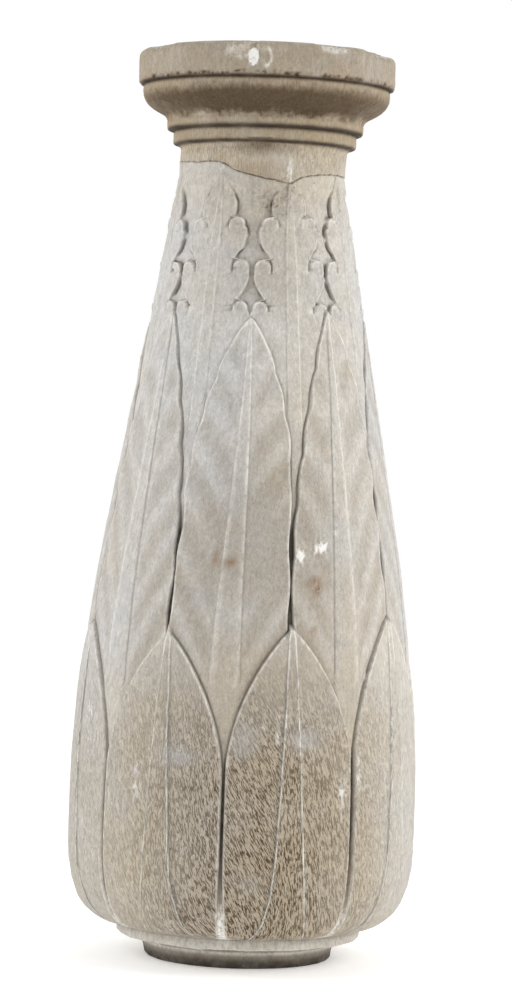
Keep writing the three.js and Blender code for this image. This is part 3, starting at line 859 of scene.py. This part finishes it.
class PedestalColours(PropertyGroup):
    cool_stone: FloatVectorProperty(
        name="Cool stone", description="Clean grey limestone", subtype="COLOR", size=4,
        default=linear("#C8C6C3"))
    warm_stone: FloatVectorProperty(
        name="Warm stone", description="Tan limestone", subtype="COLOR", size=4, default=linear("#C9BCA6"))
    # Brown soil, also the colour of the painted shade under the head's fillets and slab
    soil: FloatVectorProperty(
        name="Soil", description="Brown soil in the tool marks", subtype="COLOR", size=4,
        default=linear("#554128"))
    soil_film: FloatVectorProperty(
        name="Soil film", description="Thin soil over the lower leaves", subtype="COLOR", size=4,
        default=linear("#A49278"))
    # Thin grey dirt, also painted as shade towards the front and in the folds between the veins
    grime: FloatVectorProperty(
        name="Grime", description="Thin grey dirt, as the share of light that it lets through",
        subtype="COLOR", size=4, default=linear("#D3CCC2"))
    # Dark dirt, also painted as shade in the grooves, slots, curls, under edges and under the head's
    # fillets
    crevice: FloatVectorProperty(
        name="Crevice", description="Dark dirt in crevices and pits", subtype="COLOR", size=4,
        default=linear("#3E372F"))
    # Pale worn edges, also painted on edges and rims as highlights
    arris: FloatVectorProperty(
        name="Arris", description="Pale worn edges", subtype="COLOR", size=4, default=linear("#EAE6DD"))
    lime: FloatVectorProperty(
        name="Lime", description="White lime spots", subtype="COLOR", size=4, default=linear("#EDEBE6"))
    rust: FloatVectorProperty(
        name="Rust", description="Orange brown stains", subtype="COLOR", size=4, default=linear("#80603A"))


# The shaft

def foot_and_ring(theta):
    """The foot and the ring on one row of columns, from the underside up: their points and masks."""
    line = np.array(BASE_OUTLINE, float)
    theta = np.broadcast_to(theta, (len(line), len(theta)))
    radius = np.broadcast_to(line[:, :1], theta.shape)
    height = np.broadcast_to(line[:, 1:], theta.shape)
    wear = np.where(height > 0.1, 0.5 * roughen(placed(radius, theta, height), 16, 3, 2.0), 0)
    ragged = 0.9 * roughen(placed(radius, theta, 0 * height), 14, 3, 6.0)
    ring_edge = (height >= RING_BOTTOM) & (height < 25) & (radius > 110)
    points = placed(radius + wear - 0.5, theta, height + ragged * ring_edge)
    on_foot = height < RING_BOTTOM - 0.1
    patchy = 0.3 * roughen(points, 20, 3, 8.0)
    return points, {
        # The foot darkens towards the floor: painted shade under the ring and at the floor, as a contact
        # shadow
        "crevice": np.where(on_foot, 0.05 + 0.95 * np.clip((16.5 - height) / 11, 0, 1), 0.03),
        "arris": np.where(on_foot, bell(height - 15.4, 1.4), 0.6) + patchy,
        "warm": 0.45 + patchy,
        "soil": np.where(on_foot, 0.35, 0.2) + patchy,
        "tooled": 0.15,
        "stroke": placed(radius, theta, height) * MM,
        "pitted": 0.5,
        "grime": np.where(on_foot, 0.5, 0.25) + patchy,
        "sunken": 0.8 * bell(height - 19.2, 1.9) * on_foot,
    }


def shaft_crevices(theta, height, body, lower, middle, upper):
    """Dark dirt and painted shade in the grooves, slots and curls and under the leaves' edges, painted
    shade beside the ribs, and dark dirt along the break.
    """
    turn = wrapped(theta)
    in_lower, in_middle, in_upper = lower["inside"], middle["inside"], upper["inside"]
    oblique = smooth(28, 38, np.abs(turn))
    # Painted shade with dirt in the slots beside the lobes: darker on the oblique sides and at the front
    # slots, lighter at the front's middle
    seen = np.clip(0.15 + 0.9 * roughen(body, 24, 2, 11.0), 0, 0.6) * (1 - bell(turn + 3.5, 16))
    seen = strongest(seen, blots(theta, height, FRONT_SLOTS, soft=0.5), 0.85 * oblique)
    slot = smooth(0.5, -0.3, in_upper) * smooth(640, 648, height) * smooth(0.4, -0.2, in_middle)
    slot = slot * bell(in_upper + 0.8, 1 + 0.7 * oblique) * smooth(766, 752, height)
    slot = slot * (0.12 + 0.95 * seen)
    for level in BRIDGES:
        slot = slot * (1 - 0.9 * bell(height - level, 1.8 + 1.6 * oblique))
    # Painted shade with dirt in the closed grooves between the lower leaves, darker upwards; at 36 to 38
    # degrees one groove wall is kept pale, as lit
    low_dark = along(((45, 0.0), (66, 0.15), (100, 0.6), (135, 0.95), (230, 1), (340, 0.9)), height)
    pale_side = 0.7 * smooth(38.6, 38.0, turn) * smooth(35, 36, turn)
    closed_mid = middle["closed"] * smooth(0.4, -0.4, in_middle) * (1 - smooth(-1, 0.5, in_lower))
    crevice = low_groove(lower) * low_dark * (1 - pale_side) + 0.95 * closed_mid + 0.85 * slot

    # Painted shade under the middle leaves' edges, strongest on the walls that look towards the front's
    # middle
    wavering = np.clip(0.6 + 1.5 * roughen(body, 17, 3, 13.0), 0.1, 1)
    undercut = 0.12 + 0.2 * (middle["leaf"] == 0) + 0.5 * facing_centre(middle, turn)
    undercut = undercut * (0.4 + 0.6 * wavering) + 0.2 * oblique
    undercut = undercut * bell(in_middle + 0.7, 0.65) * (1 - middle["closed"])
    crevice += undercut * (in_lower < 0) * (height > 400)
    # The same painted shade outside the lower leaves' edges
    crevice += (0.02 + 0.6 * facing_centre(lower, turn)) * bell(in_lower + 0.9, 0.9) * (1 - lower["closed"])
    on_lobes = (in_upper > 0) & (in_middle < 0) & (height > 630)
    # Painted shade in the lobes' deep curls
    crevice += 0.4 * np.clip((upper["depth"] - 1.9) / 1.2, 0, 1) * on_lobes
    crevice = np.clip(np.maximum(crevice, crack_line(body, turn, break_height(theta) - height)), 0, 1)
    # Painted shade beside the ribs, on the side that looks away from the front's middle
    shaded = np.maximum(bell(lower["beside"] - 0.9, 0.5) * (in_lower > 0.6) * 0.28,
                        bell(middle["beside"] - 0.9, 0.7) * (in_middle > 0.6) * (in_lower < 0) * 0.4)
    return np.maximum(crevice, shaded * facing_side(turn, lower, middle))


def low_groove(lower):
    """1 in the closed grooves between the lower leaves."""
    return lower["closed"] * smooth(0.4, -0.4, lower["inside"])


def shaft_arrises(turn, height, mottle, lower, middle, upper):
    """Pale worn edges with painted highlights: the leaves', their ribs' and the rims of the lobes, and a
    painted paler band on the right side.
    """
    in_lower, in_middle, in_upper = lower["inside"], middle["inside"], upper["inside"]
    rib_line = 0.42 + 0.38 * smooth(430, 490, height)
    # Painted highlights with wear: pale lines on the leaves' and ribs' edges, as lit by the side softboxes,
    # and on the lobes' upward rims, as lit from above
    arris = strongest(
        bell(in_lower - 0.8, 0.9),
        bell(lower["beside"], 0.5) * (in_lower > 0.6) * 1.6,
        rib_line * bell(middle["beside"], 0.6) * (in_middle > 0.6) * (in_lower < 0),
        bell(upper["beside"], 0.5) * (in_middle < 0) * (height > 520) * 0.6,
        bell(in_middle - 0.7, 0.8) * (in_lower < 0) * (0.85 + 0.4 * (middle["leaf"] == 0)),
        bell(in_upper - 0.7, 0.8) * (in_middle < 0) * (height > 632) * 0.5,
        upper["rim"] * (in_middle < 0))
    arris = arris * smooth(768, 745, height) * (0.7 + 0.6 * np.clip(mottle + 0.5, 0, 1))
    # Painted light: below 345 mm the right side is paler, as lit by the right softbox
    return arris + 0.2 * smooth(44, 58, turn) * smooth(125, 85, turn) * smooth(345, 300, height)


def shaft_stains(theta, height, body, spalled, lower, middle, upper):
    """The masks of the carved rows: dirt, wear, soil, tool marks and spots, with painted shade and painted
    highlights.
    """
    turn = wrapped(theta)
    in_lower, off_axis = lower["inside"], lower["off"]
    mottle = roughen(body, 45, 3, 7.0)
    on_lower = smooth(-0.5, 1.5, in_lower)
    on_middle = smooth(-0.5, 0.5, middle["inside"]) * (1 - on_lower)
    crevice = shaft_crevices(theta, height, body, lower, middle, upper)
    crevice = np.clip(crevice + 0.8 * spalled * np.clip(roughen(body, 3.4, 3, 21.0), 0, 1), 0, 1)

    front = 0.06 + 0.92 * bell(turn - 5, 39) + 0.5 * bell(turn - 170, 60)
    soil = front * smooth(330, 170, height) * smooth(24, 46, height) * on_lower
    soil = np.clip(soil * (0.95 + 0.4 * mottle + 0.35 * smooth(95, 55, height)), 0, 1)
    soil = np.maximum(soil, patch(theta, height, 39, 300, 3.5, 60, 0.45, 0.6) * (in_lower < 0))
    low_warm = 0.5 * smooth(420, 180, height) * (1 - 0.5 * smooth(30, 60, np.abs(turn)))
    warm = 0.12 + 0.2 * smooth(-15, 25, turn) * smooth(80, 50, turn) + low_warm
    warm += 0.3 * smooth(690, 770, height) + 0.12 * roughen(body, 90, 2, 4.0)
    # Grey dirt with painted shade: darker towards the front's middle, away from the side lights, and higher
    # on the front
    grime = bell(turn - 4, 26) * smooth(340, 400, height) * smooth(560, 430, height)
    grime = grime + 0.65 * bell(turn, 42) * smooth(470, 300, height) + 0.1 * mottle
    # Painted shade in the folds between the middle leaves' veins
    beside_rib = smooth(2, 9, middle["beside"]) * smooth(6, 40, middle["below"])
    grime += 0.75 * (0.75 - middle["ridge"]) * on_middle * beside_rib
    grime = np.clip(grime + 0.5 * bell(turn - 2, 24) * smooth(630, 665, height), 0, 1)

    tooled = on_lower * smooth(345, 230, height) * (0.4 + 0.6 * front)
    # Grey rubbed patches where neither soil nor strokes show
    rubbed = 0.65 * blots(theta, height, RUBBED, soft=0.7)
    soil, tooled, warm = soil * (1 - rubbed), tooled * (1 - 0.6 * rubbed), warm * (1 - 1.3 * rubbed)
    tooled = np.maximum(tooled, 0.12 * smooth(700, 760, height))
    # The strokes lean one way on each half of a leaf and the other way on its rib
    right_half, on_rib = np.where(off_axis > 0, 1.0, 0.0), lower["beside"] < 0
    slant = np.where(on_rib, 0.2, 0.5 - 0.2 * right_half) * (0.4 + 0.6 * bell(turn - 8, 36))
    across = off_axis * per_degree(height) + (height - 160) * slant
    apart = (lower["leaf"] * 2 + right_half + 3 * on_rib) * 0.37
    stroke = np.stack([across * MM, height * MM, apart], axis=-1)
    # Lime runs down the closed grooves to the ring
    lime = (1.0 - 0.35 * smooth(20, 30, np.abs(turn))) * low_groove(lower) * smooth(84, 56, height)
    return {
        "crevice": crevice,
        "arris": shaft_arrises(turn, height, mottle, lower, middle, upper),
        "warm": warm,
        "soil": soil,
        "tooled": tooled,
        "stroke": stroke,
        "lime": np.maximum(lime, blots(theta, height, LIME_SPOTS)),
        "rust": blots(theta, height, RUST_SPOTS),
        "pitted": spalled + 0.35 * smooth(640, 700, height),
        "grime": grime,
        "sunken": np.zeros(theta.shape),
    }


def weathered_shaft(theta, height, depth):
    """The carved stone's radius once it is worn, and where it is spalled."""
    radius = shaft_radius(height) - depth * smooth(RING_TOP, RING_TOP + 12, height)
    points = placed(radius, theta, height)
    radius = radius + 0.45 * roughen(points, 38) + 0.16 * roughen(points, 7, 2, 5.0)
    spalled = sum(patch(theta, height, *mark) for mark in SPALLS)
    grit = 0.3 * smooth(560, 680, height) + 1.7 * spalled
    radius = radius - grit * np.clip(roughen(points, 4.2, 3, 17.0) + 0.3, 0, 1.2)
    return radius - chipped_lip(points, break_height(theta) - height), spalled


class PEDESTAL_OT_shaft(Operator):
    """Builds the carved shaft with its ring and foot, up to the break in the neck"""

    bl_idname = "pedestal.shaft"
    bl_label = "Carved shaft"

    def execute(self, context):
        sizes, colours = context.scene.pedestal_sizes, context.scene.pedestal_colours
        rows = shaft_rows()
        theta = shaft_columns(rows)
        nominal = np.broadcast_to(rows[:, None], theta.shape)
        height = nominal + (break_height(theta) - BREAK_MIDDLE) * smooth(736, BREAK_MIDDLE, nominal)
        depth, *tiers = carve(theta, height, sizes)
        radius, spalled = weathered_shaft(theta, height, depth)
        base, base_masks = foot_and_ring(theta[0])
        body = placed(radius, theta, height)
        cap = broken_face(radius[-1], theta[-1])
        points = np.concatenate([base, body, cap])
        stains = shaft_stains(theta, height, body, spalled, *tiers)
        masks = {label: stacked((len(base), len(cap)), values, base_masks.get(label, 0.0))
                 for label, values in stains.items()}
        # The belly's fullest ribs stay within the solid's box
        reach = np.abs(points[..., :2]).max(-1, keepdims=True)
        points[..., :2] *= np.minimum(1, (SHAFT_BOX[1].x / MM - 0.02) / reach)
        material = carved_limestone("Weathered limestone, point chiselled", sizes, colours, 0.8)
        piece = lathe_object("Carved_shaft", points, masks, material)
        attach(piece, "root")
        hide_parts("carved_shaft")
        return {"FINISHED"}


# The head

def head_rows():
    """The head's rows, from the break up the neck and by even steps along the outline: the angle, height
    and unworn radius at each point, and the distance up from the outline's start."""
    outline = np.array(HEAD_OUTLINE)
    steps = np.concatenate([[0], np.cumsum(np.hypot(*np.diff(outline, axis=0).T))])
    spaced = np.unique(np.concatenate([np.linspace(0, steps[-1], OUTLINE_STEPS), steps]))
    radius, height = (np.interp(spaced, steps, values)[:, None] for values in outline.T)
    around = np.arange(HEAD_COLUMNS) * 360 / HEAD_COLUMNS - 180
    theta = np.broadcast_to(around, (NECK_ROWS + len(spaced), HEAD_COLUMNS))
    neck_low = break_height(theta[:NECK_ROWS]) + BREAK_GAP
    neck = mixed(neck_low, height[0], np.linspace(0, 1, NECK_ROWS + 1)[:-1, None] ** 1.3)

    def over_neck(low, high):
        return np.concatenate([low, np.broadcast_to(high, (len(spaced), HEAD_COLUMNS))])

    return (theta, over_neck(neck, height), over_neck(np.full(neck.shape, NECK_RADIUS), radius),
            over_neck(neck - height[0], spaced[:, None]))


def head_dirt(turn, height, coarse, small, ragged):
    """Dirt under the roll, in the hollow above the neck and along the slab's ragged edge, and soil with
    painted shade in bands under the fillets and the slab: how much lies under the roll, and how much in
    all."""
    uneven = height + 3 * coarse + 2.5 * small
    under_roll = smooth(864, 848, uneven) * smooth(828, 838, uneven)
    under_roll = under_roll * (0.5 + 0.6 * bell(turn, 62) + 0.15 * coarse + 0.12 * small)
    hollow = bell(turn + 2, 17) * smooth(790, 803, height) * smooth(811, 808, height)
    sunken = strongest(1.2 * under_roll, 0.85 * hollow, np.clip(2.6 * ragged, 0, 0.95))
    # Soil with painted shade: brown bands under the two fillets and the slab
    for level, spread, share in ((807.2, 2.2, 0.85), (821.2, 2.6, 1.0), (865.8, 2.4, 1.0)):
        sunken = np.maximum(sunken, (share + 0.25 * coarse) * bell(height - level, spread))
    return under_roll, np.clip(sunken * (0.95 + 0.12 * coarse), 0, 1)


def weathered_head(theta, height, sound, run):
    """The worn head: its points and its radius at each, and the masks with their values on the rows that
    close it below and above."""
    turn = wrapped(theta)
    slab = smooth(866, 868, height)
    offset = HEAD_OFFSET * smooth(BREAK_MIDDLE, 821, height)
    off_break = height - break_height(theta) - BREAK_GAP
    points = placed(sound, theta, height, offset)
    coarse, small = roughen(points, 30, 3, 1.0), roughen(points, 6, 2, 6.0)
    radius = sound + 0.5 * coarse - 0.5 + 0.22 * small - chipped_lip(points, off_break)
    worn = np.zeros(theta.shape)
    for *place, bite in HEAD_CHIPS:
        chipped = bite * (1 + 0.35 * roughen(points, 5, 2, place[0]))
        worn = np.maximum(worn, patch(theta, height, *place, soft=CHIP_SOFTNESS) * chipped)
    ragged = np.clip(roughen(points, 8, 3, 12.0) + 0.2, 0, 1) * smooth(873, 867.5, height)
    worn = (worn + 6 * ragged * (0.5 + 0.5 * bell(turn + 25, 40))) * slab
    # The lower fillet's underside is broken up where it meets the neck
    fillet_edge = 807.6 + 4.6 * bell(turn + 3, 11) + 1.6 * roughen(points[:1], 16, 3, 4.0)
    kept = np.minimum(radius, 84.6 + 14 * smooth(fillet_edge - 1.5, fillet_edge + 1.2, height))
    radius = np.minimum(np.where(height < 822, kept, radius) - worn, SLAB_RADIUS - 0.05)
    top = height - 0.75 * worn * smooth(893, 900, height)
    points = placed(radius, theta, np.minimum(top, TOTAL_HEIGHT), offset)

    under_roll, sunken = head_dirt(turn, height, coarse, small, ragged * slab)
    lost = sound - radius
    crevice = strongest(np.clip((lost - blur(lost, 4)) / 1.3, 0, 1) * 0.7, 0.4 * under_roll,
                        crack_line(points, turn, off_break))
    # Painted shade: dark lines under the two fillets and under the slab's edge
    for level, spread in ((821.2, 1.9), (866.2, 1.4), (807.2, 1.5)):
        crevice = np.maximum(crevice, (0.92 + 0.3 * coarse) * bell(height - level, spread))
    scar = np.hypot((turn + 0.6) / 2.3, (height - 884) / 8.5)
    arris = 0.9 * bell(scar - 1, 0.22) * smooth(-2, 0, turn)
    arris = arris + 0.3 * smooth(896, 899, height) * (0.5 + coarse)
    soil = 0.25 + 0.1 * slab + 0.8 * under_roll + 0.2 * coarse + 0.3 * smooth(790, 806, height) * (1 - slab)
    tooled = 0.25 + 0.3 * under_roll + 0.35 * smooth(812, 800, height)
    stroke = np.stack([theta * NECK_RADIUS * math.pi / 180, run, np.zeros(theta.shape)], axis=-1) * MM
    lime = 0.4 * np.clip(worn / 2.4, 0, 1) * smooth(884, 890, height)
    streaks = roughen(placed(radius, theta, height * 0.12), 9, 3, 15.0)
    grime = 0.25 + 0.85 * smooth(802, 812, height) + 0.2 * coarse + 0.5 * slab * (0.4 + streaks)
    return points, radius, (
        ("crevice", np.clip(crevice, 0, 1), 0.3),
        ("arris", np.maximum(arris, blots(theta, height, HEAD_SCUFFS))),
        ("warm", 0.85 - 0.3 * slab + 0.15 * coarse, 0.7, 0.6),
        ("soil", np.clip(soil, 0, 1), 0.5, 0.35),
        ("tooled", tooled * smooth(179.5, 176, np.abs(turn)), 0.3, 0.25),
        ("stroke", stroke),
        ("lime", np.maximum(lime, blots(theta, height, HEAD_LIME))),
        ("rust", 0.5 * smooth(800, 776, height) * bell(turn + 5, 22)),
        ("pitted", 0.35 + 0.3 * coarse, 0.3, 0.4),
        ("grime", grime, 0.3, 0.3),
        ("sunken", sunken),
    )


class PEDESTAL_OT_head(Operator):
    """Builds the turned head, from the break in the neck up to the slab that carries the basin"""

    bl_idname = "pedestal.head"
    bl_label = "Turned head"

    def execute(self, context):
        sizes, colours = context.scene.pedestal_sizes, context.scene.pedestal_colours
        theta, height, sound, run = head_rows()
        ring, radius, stains = weathered_head(theta, height, sound, run)
        under = broken_face(radius[0], theta[0], BREAK_GAP)[::-1]
        bed_radius = (radius[-1] - 1) * np.array(BED_SHARES)[:, None]
        bed_height = np.full(bed_radius.shape, TOTAL_HEIGHT)
        bed = placed(bed_radius, theta[:len(bed_radius)], bed_height, HEAD_OFFSET)
        points = np.concatenate([under, ring, bed])
        masks = {label: stacked((len(under), len(bed)), values, *ends) for label, values, *ends in stains}
        material = carved_limestone("Weathered limestone, turned and rubbed", sizes, colours, 0.4)
        piece = lathe_object("Turned_head", points, masks, material)
        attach(piece, "root")
        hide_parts("turned_head")
        return {"FINISHED"}


class PEDESTAL_OT_stage(Operator):
    """Sets the pale floor, the soft studio light and the camera"""

    bl_idname = "pedestal.stage"
    bl_label = "Stage, light and camera"

    def execute(self, context):
        scene = context.scene
        scene.view_settings.view_transform = "Standard"
        world = bpy.data.worlds.new("White backdrop, dim room in front")
        world.use_nodes = True
        tree = world.node_tree
        toward = add_node(tree, "TexCoord", {}, "Generated")
        back = add_node(tree, "SeparateXYZ", {0: toward}, "Y")
        glow = add_node(tree, "MapRange", {0: back, 1: -0.5, 2: 0.3, 3: ROOM_LIGHT, 4: 1.0},
                        interpolation_type="SMOOTHSTEP")
        tree.links.new(glow, tree.nodes["Background"].inputs["Strength"])
        tree.nodes["Background"].inputs["Color"].default_value = (1, 1, 1, 1)
        scene.world = world

        mesh = bpy.data.meshes.new("Floor")
        corners = [(x * FLOOR_REACH, y * FLOOR_REACH, 0) for x, y in ((-1, -1), (1, -1), (1, 1), (-1, 1))]
        mesh.from_pydata(corners, [], [(0, 1, 2, 3)])
        paper = bpy.data.materials.new("White acrylic, lit from below")
        paper.use_nodes = True
        shader = paper.node_tree.nodes["Principled BSDF"]
        for socket, value in (
                ("Base Color", linear("#FAFAFA")), ("Roughness", 0.9), ("Specular IOR Level", 0.0),
                ("Emission Color", (1, 1, 1, 1)), ("Emission Strength", TABLE_LIGHT)):
            shader.inputs[socket].default_value = value
        mesh.materials.append(paper)
        floor = bpy.data.objects.new("Floor", mesh)
        scene.collection.objects.link(floor)

        aim = Vector((0, 0, TOTAL_HEIGHT * MM / 2))
        for name, place, size, power in SOFTBOXES:
            lamp = bpy.data.lights.new(name, "AREA")
            lamp.shape = "RECTANGLE"
            lamp.size, lamp.size_y = size
            lamp.energy = power
            light = bpy.data.objects.new(name, lamp)
            light.location = place
            light.rotation_euler = (aim - Vector(place)).to_track_quat("-Z", "Y").to_euler()
            scene.collection.objects.link(light)

        # The frame is 1 m tall where the pedestal stands
        lens = bpy.data.cameras.new("Camera")
        lens.sensor_width = SENSOR_WIDTH
        lens.lens = SENSOR_WIDTH * CAMERA_DISTANCE
        camera = bpy.data.objects.new("Camera", lens)
        camera.location = (CAMERA_ASIDE, -CAMERA_DISTANCE, CAMERA_HEIGHT)
        pitch = Euler((math.radians(90 - CAMERA_PITCH), 0, 0)).to_matrix()
        camera.rotation_euler = (pitch @ Euler((0, 0, math.radians(CAMERA_ROLL))).to_matrix()).to_euler()
        scene.collection.objects.link(camera)
        scene.camera = camera
        return {"FINISHED"}


class PEDESTAL_PT_panel(Panel):
    bl_label = "Stone Basin Pedestal"
    bl_idname = "PEDESTAL_PT_panel"
    bl_space_type = "VIEW_3D"
    bl_region_type = "UI"
    bl_category = "Pedestal"

    def draw(self, context):
        for operator in OPERATORS:
            self.layout.operator(operator.bl_idname)
        for group in (context.scene.pedestal_sizes, context.scene.pedestal_colours):
            for key in group.__annotations__:
                self.layout.prop(group, key)


OPERATORS = (PEDESTAL_OT_stage, PEDESTAL_OT_shaft, PEDESTAL_OT_head)
CLASSES = (PedestalSizes, PedestalColours) + OPERATORS + (PEDESTAL_PT_panel,)


def register():
    for cls in CLASSES:
        bpy.utils.register_class(cls)
    bpy.types.Scene.pedestal_sizes = PointerProperty(type=PedestalSizes)
    bpy.types.Scene.pedestal_colours = PointerProperty(type=PedestalColours)


def unregister():
    del bpy.types.Scene.pedestal_colours
    del bpy.types.Scene.pedestal_sizes
    for cls in reversed(CLASSES):
        bpy.utils.unregister_class(cls)


def main():
    register()
    bpy.ops.pedestal.stage()
    bpy.ops.pedestal.shaft()
    bpy.ops.pedestal.head()


if __name__ == "__main__":
    main()
